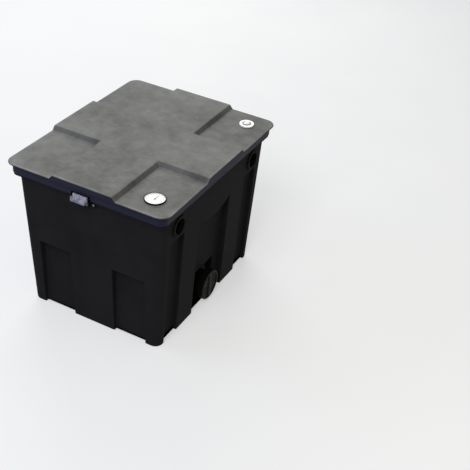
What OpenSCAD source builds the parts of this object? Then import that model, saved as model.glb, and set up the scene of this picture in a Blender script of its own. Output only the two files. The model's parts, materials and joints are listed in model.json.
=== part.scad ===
// Flow-through pond filter: a drafted tank, a lift-off lid with a raised cross,
// foam cartridges between two partitions, two inlets, an outlet and a sludge drain.
// Millimetres. The origin is the centre of the tank's base, on the ground.
// +X is the inlet side, -Y is the front, +Z is up.

/* [Lid] */
// Width of the lid along X
lid_w = 470; // [450:1:490]
// Length of the lid along Y
lid_l = 584; // [560:1:600]
// Radius of the lid's corners
lid_r = 30; // [24:1:36]
// Height of the four low corner panels
deck_z = 438; // [436:1:446]
// Thickness of the lid and of its skirt
lid_t = 4; // [3:0.5:5]
// How far the raised cross stands above the corner panels
cross_rise = 11; // [8:1:14]
// Width of the cross's arms along their top
cross_w = 173; // [150:1:180]
// Run of the cross's sloped sides
cross_slope = 9; // [5:1:12]
// Height of the skirt's lower edge
skirt_z = 407; // [406:1:410]
// Distance from the lid's edge in to the skirt
skirt_in = 10; // [8:1:12]

/* [Tank] */
// Width of the base along X
base_w = 400; // [390:1:404]
// Length of the base along Y
base_l = 502; // [490:1:506]
// Draft of each side wall, from the base to the rim
draft_x = 15; // [10:1:15]
// Draft of the front and rear walls, from the base to the rim
draft_y = 21; // [15:1:22]
// Thickness of the walls
wall = 4; // [3.5:0.5:5]
// Thickness of the floor
floor_t = 5; // [4:0.5:6]
// Height of the rim that the lid rests on
rim_z = 430; // [428:0.5:431]

/* [Ports] */
// Distance of each inlet from the middle of the side
inlet_y = 193; // [185:1:195]
// Height of the inlets
inlet_z = 360; // [350:1:362]
// Radius of the bore through each inlet seal
inlet_r = 21; // [16:0.5:22]
// Height of the outlet
outlet_z = 325; // [300:1:330]
// Outer radius of the outlet pipe
outlet_r = 37.5; // [32:0.5:38]
// Height of the drain
drain_z = 52; // [50:1:56]
// Radius of the drain cap
cap_r = 44; // [40:1:45]
// Depth of the drain cap
cap_h = 22; // [20:1:24]

/* [Cartridges] */
// Number of foam cartridges
cartridges = 5; // [5:1:5]
// Distance between cartridges
pitch = 86; // [84:1:88]
// Height of each foam
foam_h = 300; // [260:5:300]
// Width of each foam, across the flow
foam_l = 81; // [76:1:82]
// Depth of each foam, along the flow
foam_w = 184; // [170:1:186]

/* [Gauges] */
// Place of the thermometer
thermo_at = [166, -228]; // [-200:1:200]
// Radius of the thermometer's housing
thermo_r = 27; // [25:0.5:28]
// Place of the cleaning indicator
level_at = [171, 231]; // [-200:1:200]
// Radius of the cleaning indicator's ring
level_r = 20; // [19:0.5:21]

/* [Latches] */
// Offset of each latch from the middle of its side
latch_x = 10; // [0:1:20]
// Width of the latch clip
clip_w = 41; // [36:1:44]
// Height of the latch pivot
pivot_z = 395; // [394:0.5:396]

/* [Hidden] */
$fn = 64;
eps = 0.01;
far = 400;                       // longer than any cut needs
fit = 0.05;                      // radial clearance of pins and rods that turn or slide
snug = 0.02;                     // radial clearance of parts fixed in one another

plastic = "#26272a";
white_plastic = "#f2f2f0";
rubber = "#1a1a1a";

rim_in = 12;                     // from the lid's edge in to the tank's flange
flange_z = [401, 405];
tank_r = [22, 26];               // corner radius at the base and at the rim
corner_steps = 8;

// front and rear recesses
bay_x = [63.5, 160];
bay_top = 208;
bay_y = 241;                     // distance of their back plane from the middle

// recesses of the inlet side
groove_y = [160, 223];
groove_top = 321;
groove_d = 13;
panel_y = 80;
panel_top = 306;
panel_sag = 19;                  // how far the panel's top edge bows down
panel_d = 19;
pocket_y = 52;
pocket_top = 110;
pocket_x = 166;

toe_z = 65;                      // height of the small step on the outlet side
toe_d = 5;

// seats for the ports: each is a flat round boss
inlet_boss_r = 31;
inlet_face_x = 214.5;
inlet_back_x = 207;
seal_lip = 3.5;                  // thickness of the inlet seal's outer lip
outlet_boss_r = 56;
outlet_face_x = -214;
outlet_back_x = -207;

// drain
spigot_r = 36;
spigot_bore = 31;
cap_face_x = 211;
cap_wall = 5;
cap_bore = spigot_r + 0.4;

// interior, along X
part_t = 4;
part_in_x = 92;
part_out_x = -120;
part_top = 392;
rib_h = 3;                       // height of the floor ribs at the partitions' feet
grid_z = [40, 46];
mid_x = (part_in_x + part_out_x + part_t) / 2;

// foam holders
plate_l = foam_l + 1;
plate_w = foam_w + 6;
foam_z = grid_z[1] + 5.5;
core = [60, 12];

// gauges
dial_r = thermo_r - 1.8;
stem_r = 20;
level_bore = 12.5;
guide_r = 11;
rod_r = 3;

// latches
clip_y = lid_l / 2 - skirt_in + 1;   // inner face of the clip, clear of the skirt
clip_top = 416;
pivot_y = 281;
pin_r = 1.6;
knuckle_r = 4;
notch_w = clip_w + 17;
seat_y = 272;                    // face of the boss that the bracket is screwed to
seat_h = [387, 404];
bracket_w = 76;
bracket_t = 3;
ear_x = [clip_w / 2 + 3.5, 4];   // place and width of the bracket's ears
screw_x = 33;

function half_w(z) = base_w / 2 + draft_x * z / rim_z;
function half_l(z) = base_l / 2 + draft_y * z / rim_z;

// ---- shared shapes ----

module round_rect(w, l, r) {
    square([w - 2 * r, l], center = true);
    square([w, l - 2 * r], center = true);
    for (sx = [-1, 1], sy = [-1, 1])
        translate([sx * (w / 2 - r), sy * (l / 2 - r)]) circle(r);
}

// a ring between two rounded rectangles, given by their distances in from the lid's edge
module lid_ring(outer_in, inner_in, z0, z1)
    translate([0, 0, z0]) linear_extrude(z1 - z0) difference() {
        round_rect(lid_w - 2 * outer_in, lid_l - 2 * outer_in, max(lid_r - outer_in, 3));
        round_rect(lid_w - 2 * inner_in, lid_l - 2 * inner_in, max(lid_r - inner_in, 3));
    }

// the outline of the tank at height z, drawn in from the outer faces by t
function tank_ring(t, z) =
    let (r = tank_r[0] + (tank_r[1] - tank_r[0]) * z / rim_z - t)
    [for (q = [0 : 3], k = [0 : corner_steps])
        let (a = 90 * (q + k / corner_steps), sx = q == 0 || q == 3 ? 1 : -1, sy = q < 2 ? 1 : -1)
        [sx * (half_w(z) - t - r) + r * cos(a), sy * (half_l(z) - t - r) + r * sin(a), z]];

// a box that follows the tank's draft, from z0 to z1
module drafted_box(t, z0, z1) {
    n = 4 * (corner_steps + 1);
    polyhedron(
        points = concat(tank_ring(t, z0), tank_ring(t, z1)),
        faces = concat(
            [[for (i = [0 : n - 1]) i]],
            [[for (i = [0 : n - 1]) 2 * n - 1 - i]],
            [for (i = [0 : n - 1]) [i, n + i, n + (i + 1) % n, (i + 1) % n]]));
}

// a cylinder along X from x0 to x1
module x_rod(r, x0, x1)
    translate([x0, 0, 0]) rotate([0, 90, 0]) cylinder(r = r, h = x1 - x0);

module x_tube(r, bore, x0, x1)
    difference() {
        x_rod(r, x0, x1);
        x_rod(bore, x0 - 1, x1 + 1);
    }

module z_tube(r, bore, z0, z1)
    translate([0, 0, z0]) difference() {
        cylinder(r = r, h = z1 - z0);
        translate([0, 0, -1]) cylinder(r = bore, h = z1 - z0 + 2);
    }

// a six-sided nut along X
module x_nut(r, bore, x0, x1)
    difference() {
        translate([x0, 0, 0]) rotate([0, 90, 0]) cylinder(r = r, h = x1 - x0, $fn = 6);
        x_rod(bore, x0 - 1, x1 + 1);
    }

// ---- tank ----

// the recesses, each grown by g on every side; with g = 0 they cut the outside,
// and with g = wall they keep the same thickness behind it
module recesses(g) {
    for (sx = [-1, 1], sy = [-1, 1])
        translate([sx > 0 ? bay_x[0] - g : -bay_x[1] - g, sy > 0 ? bay_y - g : -far, -far])
            cube([bay_x[1] - bay_x[0] + 2 * g, far - bay_y + g, far + bay_top + g]);
    // the inlet side's recesses lean with the wall
    translate([base_w / 2, 0, 0]) rotate([0, atan(draft_x / rim_z), 0]) {
        for (sy = [-1, 1])
            translate([-groove_d - g, sy > 0 ? groove_y[0] - g : -groove_y[1] - g, -far])
                cube([far, groove_y[1] - groove_y[0] + 2 * g, far + groove_top + g]);
        // the bow ends the panel's recess at the top
        difference() {
            bow_r = (panel_y * panel_y + panel_sag * panel_sag) / (2 * panel_sag);
            translate([-panel_d - g, -panel_y - g, -far])
                cube([far, 2 * (panel_y + g), far + panel_top + 2 * panel_sag]);
            translate([0, 0, panel_top - panel_sag + bow_r])
                x_rod(bow_r - g, -far, far);
        }
    }
    translate([pocket_x - g, -pocket_y - g, -far])
        cube([far, 2 * (pocket_y + g), far + pocket_top + g]);
}

module toe_cut(g)
    translate([-half_w(0) - far + toe_d + g, -far, -1]) cube([far, 2 * far, toe_z + 1 + g]);

module inlet_bosses(r, x0, x1)
    for (sy = [-1, 1]) translate([0, sy * inlet_y, inlet_z]) x_rod(r, x0, x1);

module latch_seats()
    for (side = [-1, 1]) at_latch(side) difference() {
        translate([-bracket_w / 2 - 1, -seat_y, seat_h[0]])
            cube([bracket_w + 2, seat_y - half_l(seat_h[0]) + 3, seat_h[1] - seat_h[0]]);
        latch_screw_holes();
    }

module latch_screw_holes()
    for (sx = [-1, 1]) translate([sx * screw_x, -seat_y + 5, pivot_z])
        rotate([90, 0, 0]) cylinder(r = 1.85, h = 20);

// the gap in the flange around each latch
module latch_gaps()
    for (side = [-1, 1]) at_latch(side) {
        translate([-bracket_w / 2 - 2, -far, flange_z[0] - 1])
            cube([bracket_w + 4, far - seat_y, flange_z[1] - flange_z[0] + 2]);
        latch_screw_holes();
    }

// pairs of low ribs on the floor that hold a partition's foot
module foot_ribs(x)
    for (dx = [-3.2, part_t + 0.2], sy = [-1, 0, 1])
        translate([x + dx, sy * 150 - 30, floor_t - 1]) cube([3, 60, rib_h + 1]);

module tank_shell() color(plastic) {
    difference() {
        union() {
            difference() {
                union() {
                    drafted_box(0, 0, rim_z);
                    lid_ring(rim_in, rim_in + 12, flange_z[0], flange_z[1]);
                }
                recesses(0);
                toe_cut(0);
            }
            inlet_bosses(inlet_boss_r, inlet_back_x, inlet_face_x);
            translate([0, 0, outlet_z]) x_rod(outlet_boss_r, outlet_face_x, outlet_back_x);
            latch_seats();
        }
        latch_gaps();
        difference() {
            drafted_box(wall, floor_t, rim_z + 1);
            recesses(wall);
            toe_cut(wall);
            inlet_bosses(inlet_boss_r, inlet_back_x, inlet_face_x);
            translate([0, 0, outlet_z]) x_rod(outlet_boss_r, outlet_face_x, outlet_back_x);
        }
        // a flat seat inside for the outlet's nut
        translate([0, 0, outlet_z]) x_rod(outlet_boss_r - 2, outlet_back_x, -150);
        inlet_bosses(inlet_r + 4, 150, 250);
        translate([0, 0, drain_z]) x_rod(spigot_r, 150, 190);
        translate([0, 0, outlet_z]) x_rod(outlet_r + 0.5, -250, -150);
    }
    foot_ribs(part_in_x);
    foot_ribs(part_out_x);
}

// a rubber grommet: a sleeve with a lip on each side of the wall; only the outer lip grips the pipe
module inlet_seal(side) color(rubber)
    translate([0, side * inlet_y, inlet_z]) {
        relief = inlet_r + 1.5;
        grip_x = inlet_face_x + 0.4;
        x_tube(inlet_r + 4 - snug, relief, inlet_back_x, inlet_face_x);
        x_tube(inlet_r + 7.5, relief, inlet_face_x, grip_x);
        x_tube(inlet_r + 7.5, inlet_r, grip_x, inlet_face_x + seal_lip);
        x_tube(inlet_r + 7.5, relief, inlet_back_x - 2.5, inlet_back_x);
    }

// ---- drain ----

module drain_spigot() color(plastic) translate([0, 0, drain_z]) {
    x_tube(spigot_r - 1, spigot_bore, pocket_x - 16, cap_face_x - 7);
    x_tube(spigot_r + 6, spigot_bore, pocket_x + 2, pocket_x + 7);
    // thread crests: inside for the nut, outside for the cap
    for (i = [0 : 2])
        x_tube(spigot_r - 0.4, spigot_bore + 1, pocket_x - 12 + 4 * i, pocket_x - 10.5 + 4 * i);
    for (i = [0 : 3])
        x_tube(spigot_r, spigot_bore + 1, cap_face_x - 22 + 4 * i, cap_face_x - 20.5 + 4 * i);
}

module drain_gasket() color(rubber) translate([0, 0, drain_z])
    x_tube(spigot_r + 6, spigot_r - 1 + snug, pocket_x, pocket_x + 2);

module drain_locknut() color(plastic) translate([0, 0, drain_z])
    x_nut(45, spigot_r - 0.4 + snug, pocket_x - wall - 7, pocket_x - wall);

module drain_cap_seal() color(rubber) translate([0, 0, drain_z])
    x_tube(spigot_r - 0.5, spigot_bore, cap_face_x - 6.8, cap_face_x - cap_wall - 0.3);

module drain_cap() color(plastic) translate([0, 0, drain_z]) difference() {
    x_rod(cap_r, cap_face_x - cap_h, cap_face_x);
    x_rod(cap_bore, cap_face_x - cap_h - 1, cap_face_x - cap_wall);
    // a shallow dish with two finger holds each side of a grip bar
    for (s = [-1, 1]) translate([cap_face_x - 2.5, s * 18, 0])
        rotate([0, 90, 0]) cylinder(r = 11, h = 5);
    for (i = [0 : 35]) rotate([i * 10, 0, 0]) translate([0, 0, cap_r + 0.3])
        x_rod(1.6, cap_face_x - cap_h - 1, cap_face_x + 1);
}

// ---- outlet ----

module outlet_spigot() color(plastic) translate([0, 0, outlet_z]) {
    x_tube(outlet_r, outlet_r - 3.5, outlet_face_x - 55, outlet_back_x + 16);
    x_tube(50, outlet_r - 1, outlet_face_x - 6, outlet_face_x - 2);
}

module outlet_gasket() color(rubber) translate([0, 0, outlet_z])
    x_tube(50, outlet_r + snug, outlet_face_x - 2, outlet_face_x);

module outlet_locknut() color(plastic) translate([0, 0, outlet_z])
    x_nut(52, outlet_r + snug, outlet_back_x, outlet_back_x + 9);

// ---- inside ----

// the outline of a partition: straight between the bays, wide above them
module partition_outline() {
    top_l = half_l(part_top) - wall - 1.5;
    mid_l = half_l(bay_top + wall + 2) - wall - 1.5;
    low_l = bay_y - wall - 1;
    polygon([for (p = [[low_l, floor_t], [low_l, bay_top + wall + 2], [mid_l, bay_top + wall + 2],
                       [top_l, part_top]]) p,
             for (p = [[-top_l, part_top], [-mid_l, bay_top + wall + 2],
                       [-low_l, bay_top + wall + 2], [-low_l, floor_t]]) p]);
}

// a plate in the YZ plane, from x to x + part_t
module partition(x)
    translate([x, 0, 0]) rotate([90, 0, 90]) linear_extrude(part_t) difference() {
        partition_outline();
        children();
    }

module inlet_partition() color(plastic) partition(part_in_x)
    for (i = [-17 : 17]) if (abs(i) % 6 != 5)
        translate([i * 12.4 - 3, 70]) square([6, 270]);

module outlet_partition() color(plastic) partition(part_out_x) {
    // the way under, into the outlet chamber
    for (i = [-2 : 2]) translate([i * 86 - 32, floor_t + 12]) square([64, 22]);
    // the overflow comb
    for (i = [-10 : 10]) translate([i * 22 - 6, part_top - 20]) square([12, 30]);
}

module support_grid() color(plastic) {
    l = 2 * (bay_y - wall - 5);
    w = part_in_x - part_out_x - part_t - 3;
    translate([mid_x, 0, grid_z[0]]) linear_extrude(grid_z[1] - grid_z[0]) difference() {
        square([w, l], center = true);
        for (i = [-15 : 15], sx = [-1, 1])
            translate([sx * w / 4, i * 14.4]) square([w / 2 - 12, 8], center = true);
    }
    for (sx = [-1, 0, 1], sy = [-1, 0, 1])
        translate([mid_x + sx * (w / 2 - 9), sy * (l / 2 - 10), floor_t])
            cylinder(r = 5, h = grid_z[0] - floor_t + 1);
}

function cartridge_y(i) = (i - (cartridges + 1) / 2) * pitch;
foam_colours = ["#b3282d", "#b3282d", "#2b4f9e", "#2b4f9e", "#4b2a73"];

module foam(i) color(foam_colours[i - 1]) translate([mid_x, cartridge_y(i), foam_z])
    difference() {
        translate([-foam_w / 2, -foam_l / 2, 0]) cube([foam_w, foam_l, foam_h]);
        translate([-core[0] / 2 - 0.5, -core[1] / 2 - 0.5, -1])
            cube([core[0] + 1, core[1] + 1, foam_h + 2]);
    }

// two plates joined by a slotted flat core that collects the clean water, and a lift handle
module foam_holder(i) color(plastic) translate([mid_x, cartridge_y(i), 0]) {
    low = grid_z[1];
    top = foam_z + foam_h + 0.5;
    difference() {
        union() {
            translate([-plate_w / 2, -plate_l / 2, low]) cube([plate_w, plate_l, 5]);
            translate([-core[0] / 2, -core[1] / 2, low]) cube([core[0], core[1], top - low]);
        }
        translate([-core[0] / 2 + 2.5, -core[1] / 2 + 2.5, low - 1])
            cube([core[0] - 5, core[1] - 5, top - low]);
        for (k = [0 : 5], sx = [-1, 1])
            translate([sx * 13 - 8, -core[1], foam_z + 12 + 47 * k]) cube([16, 2 * core[1], 38]);
    }
    translate([-plate_w / 2, -plate_l / 2, top]) cube([plate_w, plate_l, 4]);
    for (sx = [-1, 1]) translate([sx * 42 - 4, -7, top + 3]) cube([8, 14, 26]);
    translate([-46, -7, top + 25]) cube([92, 14, 7]);
}

// ---- latches: side -1 is the front, side 1 the rear, turned half a turn ----

module at_latch(side)
    rotate([0, 0, side < 0 ? 0 : 180]) translate([-latch_x, 0, 0]) children();

module latch_bracket(side) color(plastic) at_latch(side) difference() {
    union() {
        translate([-bracket_w / 2, -seat_y - bracket_t, seat_h[0]])
            cube([bracket_w, bracket_t, seat_h[1] - seat_h[0] - 1]);
        for (sx = [-1, 1]) translate([sx * ear_x[0], -pivot_y, pivot_z]) {
            translate([-ear_x[1] / 2, 0, -knuckle_r])
                cube([ear_x[1], pivot_y - seat_y - 1, 2 * knuckle_r]);
            x_rod(knuckle_r, -ear_x[1] / 2, ear_x[1] / 2);
        }
    }
    translate([0, -pivot_y, pivot_z]) x_rod(pin_r + snug, -far, far);
    latch_screw_holes();
}

module latch_pin(side) color("silver") at_latch(side)
    translate([0, -pivot_y, pivot_z])
        x_rod(pin_r, -ear_x[0] - ear_x[1] / 2 - 0.5, ear_x[0] + ear_x[1] / 2 + 0.5);

module latch_screws(side) color("silver") at_latch(side)
    for (sx = [-1, 1]) translate([sx * screw_x, -seat_y + 4.5, pivot_z]) rotate([90, 0, 0]) {
        cylinder(r = 1.8, h = 4.5 + bracket_t + 0.1);
        translate([0, 0, 4.5 + bracket_t + 0.02]) cylinder(r = 3.4, h = 2);
    }

// the clip: a barrel on the pin, an arm up the face of the skirt, a thumb lip and two end ribs
module latch_clip(side) color("#3a3b3f") at_latch(side) difference() {
    lip_y = -clip_y - 14;
    union() {
        translate([0, -pivot_y, pivot_z]) x_rod(knuckle_r, -clip_w / 2 - 1, clip_w / 2 + 1);
        translate([-clip_w / 2, 0, 0]) rotate([90, 0, 90]) linear_extrude(clip_w) polygon([
            [-pivot_y - knuckle_r + 0.1, pivot_z], [-clip_y - 3.2, pivot_z + 4],
            [lip_y, pivot_z + 4], [lip_y - 1, pivot_z + 5.5], [lip_y, pivot_z + 7],
            [-clip_y - 4, pivot_z + 11], [-clip_y - 3, clip_top], [-clip_y, clip_top],
            [-clip_y, pivot_z + 5], [-pivot_y, pivot_z + knuckle_r - 0.1]]);
        for (sx = [-1, 1]) translate([sx * (clip_w / 2 - 1.5) - 1.5, lip_y, pivot_z + 4])
            cube([3, 12, 9]);
    }
    translate([0, -pivot_y, pivot_z]) x_rod(pin_r + fit, -far, far);
}

// ---- lid ----

module cross_arm(length, top_w, run, z0, z1)
    translate([0, length / 2, 0]) rotate([90, 0, 0]) linear_extrude(length) polygon([
        [-top_w / 2 - run, z0], [top_w / 2 + run, z0], [top_w / 2, z1], [-top_w / 2, z1]]);

// the raised cross, lowered by d and shortened to leave an end wall of e
module cross(d, e) {
    cross_arm(lid_l - 2 * e, cross_w - d, cross_slope, deck_z - d - eps, deck_z + cross_rise - d);
    rotate([0, 0, 90])
        cross_arm(lid_w - 2 * e, cross_w - d, cross_slope, deck_z - d - eps,
                  deck_z + cross_rise - d);
}

module lid_panel() color(plastic) difference() {
    union() {
        translate([0, 0, deck_z - lid_t]) linear_extrude(lid_t) round_rect(lid_w, lid_l, lid_r);
        cross(0, 0);
        lid_ring(skirt_in, skirt_in + lid_t, skirt_z, deck_z - 1);
    }
    cross(lid_t, skirt_in + lid_t);
    translate([thermo_at[0], thermo_at[1], deck_z - 20]) cylinder(r = stem_r + 0.3, h = 40);
    translate([level_at[0], level_at[1], deck_z - 20]) cylinder(r = guide_r + 3.3, h = 40);
    for (side = [-1, 1]) at_latch(side)
        translate([-notch_w / 2, -lid_l / 2, skirt_z - 1]) cube([notch_w, skirt_in + lid_t + 2, 12]);
}

module lid_gasket() color(rubber)
    lid_ring(lid_w / 2 - half_w(rim_z) - 4, lid_w / 2 - half_w(rim_z) + 8, rim_z + 0.3, deck_z - lid_t);

// ---- thermometer ----

module at_thermometer() translate([thermo_at[0], thermo_at[1], deck_z]) children();

module thermometer_housing() color(plastic) at_thermometer() {
    z_tube(thermo_r, 4.2, 0, 1.2);
    z_tube(thermo_r, dial_r + snug, 1.1, 4.4);
    z_tube(stem_r, 4.2, -18, 0.5);
}

module thermometer_dial() color(white_plastic) at_thermometer() z_tube(dial_r, 1 + fit, 1.2, 1.9);

module thermometer_needle() color("#202020") at_thermometer() {
    translate([0, 0, 1.4]) cylinder(r = 1, h = 1.6);
    translate([0, 0, 2.2]) linear_extrude(0.5)
        polygon([[-1, -6], [1, -6], [0.9, 0], [0.25, 19], [-0.25, 19], [-0.9, 0]]);
    translate([0, 0, 2.2]) cylinder(r = 2.2, h = 0.8);
}

module thermometer_lens() color("#e8eef2", 0.35) at_thermometer()
    translate([0, 0, 3.2]) cylinder(r = dial_r, h = 1.1);

module thermometer_locknut() color(plastic) at_thermometer()
    z_tube(thermo_r, stem_r + snug, -lid_t - 6, -lid_t);

module thermometer_probe() color("silver") at_thermometer()
    translate([0, 0, -110]) {
        cylinder(r = 4.2 - snug, h = 111);
        sphere(r = 4.2 - snug);
    }

// ---- cleaning indicator ----

module at_indicator() translate([level_at[0], level_at[1], deck_z]) children();

module indicator_ring() color(white_plastic) at_indicator() {
    z_tube(level_r, level_bore, 0, 4);
    z_tube(guide_r + 3, guide_r, -18, 0.5);
}

module indicator_window() color("#e8eef2", 0.35) at_indicator() {
    rise = 3.5;
    rad = (pow(level_bore, 2) + pow(rise, 2)) / (2 * rise);
    intersection() {
        translate([0, 0, 3 + rise - rad]) difference() {
            sphere(r = rad, $fn = 96);
            sphere(r = rad - 1.2, $fn = 96);
        }
        translate([0, 0, 3]) cylinder(r = level_bore - snug, h = 10);
    }
}

module indicator_locknut() color(plastic) at_indicator()
    z_tube(22, guide_r + 3 + snug, -lid_t - 6, -lid_t);

module indicator_guide() color(plastic) at_indicator() {
    z_tube(guide_r - snug, guide_r - 1.2, -38, -10);
    z_tube(guide_r - 1, rod_r + fit, -42, -38);
}

module indicator_rod() color("#d8452c") at_indicator() {
    translate([0, 0, -108]) cylinder(r = rod_r, h = 98.5);
    translate([0, 0, -9.6]) cylinder(r = 9, h = 3);
}

module indicator_float() color("#e9e9e4") at_indicator() difference() {
    translate([0, 0, -142]) cylinder(r = 20, h = 44);
    translate([0, 0, -108 - snug]) cylinder(r = rod_r + snug, h = 20);
}

// ---- nodes ----

tank_shell();
inlet_seal(-1);  // inlet_seal_front
inlet_seal(1);  // inlet_seal_rear
drain_spigot();
drain_gasket();
drain_locknut();
drain_cap_seal();
drain_cap();
outlet_spigot();
outlet_gasket();
outlet_locknut();
support_grid();
inlet_partition();
outlet_partition();
for (i = [1 : cartridges]) {
    foam(i);
    foam_holder(i);
}
latch_bracket(-1);  // front_latch_bracket
latch_pin(-1);  // front_latch_pin
latch_screws(-1);  // front_latch_screws
latch_clip(-1);  // front_latch_clip
latch_bracket(1);  // rear_latch_bracket
latch_pin(1);  // rear_latch_pin
latch_screws(1);  // rear_latch_screws
latch_clip(1);  // rear_latch_clip
lid_panel();
lid_gasket();
thermometer_housing();
thermometer_dial();
thermometer_needle();
thermometer_lens();
thermometer_locknut();
thermometer_probe();
indicator_ring();
indicator_window();
indicator_guide();
indicator_locknut();
indicator_rod();
indicator_float();
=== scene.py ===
# Looks for the flow-through pond filter: moulded tank and lid, ports, gauges, latches and foam cartridges.
# Lengths are in metres. The frame's origin is the centre of the tank's base, +X is the inlet side,
# -Y is the front and +Z is up. Mesh code below works in millimetres and scales by MM at the end.
import json
import math

import bmesh
import bpy
import numpy as np
from mathutils import Matrix, Vector, noise


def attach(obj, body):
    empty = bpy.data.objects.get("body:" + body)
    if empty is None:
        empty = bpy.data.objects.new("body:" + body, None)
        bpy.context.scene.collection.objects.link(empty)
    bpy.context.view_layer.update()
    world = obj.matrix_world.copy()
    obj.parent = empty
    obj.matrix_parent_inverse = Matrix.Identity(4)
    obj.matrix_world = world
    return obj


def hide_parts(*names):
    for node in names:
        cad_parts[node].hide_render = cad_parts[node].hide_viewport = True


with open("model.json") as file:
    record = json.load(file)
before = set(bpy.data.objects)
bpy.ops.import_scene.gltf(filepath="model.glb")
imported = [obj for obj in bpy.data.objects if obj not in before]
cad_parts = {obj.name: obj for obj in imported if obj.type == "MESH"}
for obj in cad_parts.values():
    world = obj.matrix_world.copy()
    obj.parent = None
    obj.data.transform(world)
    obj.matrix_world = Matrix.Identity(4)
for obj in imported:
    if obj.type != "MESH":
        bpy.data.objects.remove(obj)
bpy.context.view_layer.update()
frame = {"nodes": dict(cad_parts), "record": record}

MM = 0.001


# ---- camera, light and floor ----

CAMERA_AT = Vector((1.117, -1.782, 1.619))
CAMERA_AZIMUTH, CAMERA_ELEVATION, CAMERA_ROLL = 25.32, 34.88, 4.92
CAMERA_LENS = 70.16
FLOOR_HALF, FLOOR_GAP = 14, 0.0004


def make_camera():
    az, el, roll = (math.radians(a) for a in (CAMERA_AZIMUTH, CAMERA_ELEVATION, CAMERA_ROLL))
    back = Vector((math.sin(az) * math.cos(el), -math.cos(az) * math.cos(el), math.sin(el)))
    level = (-back).cross(Vector((0, 0, 1))).normalized()
    over = level.cross(-back)
    right = math.cos(roll) * level + math.sin(roll) * over
    up = math.cos(roll) * over - math.sin(roll) * level
    camera = bpy.data.objects.new("camera", bpy.data.cameras.new("camera"))
    camera.data.lens = CAMERA_LENS
    camera.matrix_world = Matrix.Translation(CAMERA_AT) @ Matrix((right, up, back)).transposed().to_4x4()
    bpy.context.scene.collection.objects.link(camera)
    bpy.context.scene.camera = camera


def area_light(name, at, towards, size, power, colour):
    light = bpy.data.lights.new(name, "AREA")
    light.shape = "RECTANGLE"
    light.size, light.size_y = size
    light.energy = power
    light.color = colour
    lamp = bpy.data.objects.new(name, light)
    lamp.location = at
    lamp.rotation_euler = (Vector(towards) - Vector(at)).to_track_quat("-Z", "Y").to_euler()
    bpy.context.scene.collection.objects.link(lamp)


def make_lights():
    middle = (0, 0, 0.25)
    area_light("softbox_key", (0.5, -2.5, 3.0), middle, (1.5, 1.5), 88, (1.0, 1.0, 1.0))
    area_light("softbox_behind", (-1.6, 2.3, 1.9), (0, 0, 0.44), (2.6, 1.5), 52, (1.0, 1.0, 0.97))
    area_light("softbox_left", (-1.9, -0.8, 1.5), middle, (1.2, 1.0), 15, (0.72, 0.8, 1.0))
    area_light("softbox_right", (2.6, 0.2, 0.9), middle, (1.2, 1.0), 11, (1.0, 0.76, 0.34))
    world = bpy.data.worlds.new("studio")
    world.use_nodes = True
    background = world.node_tree.nodes["Background"]
    background.inputs["Color"].default_value = (0.86, 0.87, 0.88, 1)
    background.inputs["Strength"].default_value = 0.42
    bpy.context.scene.world = world
    bpy.context.scene.view_settings.view_transform = "Standard"


def make_floor():
    mesh = bpy.data.meshes.new("floor")
    corners = [(x * FLOOR_HALF, y * FLOOR_HALF, 0) for x, y in ((-1, -1), (1, -1), (1, 1), (-1, 1))]
    mesh.from_pydata(corners, [], [(0, 1, 2, 3)])
    floor = bpy.data.objects.new("floor", mesh)
    floor.location.z = -FLOOR_GAP
    bpy.context.scene.collection.objects.link(floor)
    floor.data.materials.append(studio_floor())


# ---- materials ----

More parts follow.
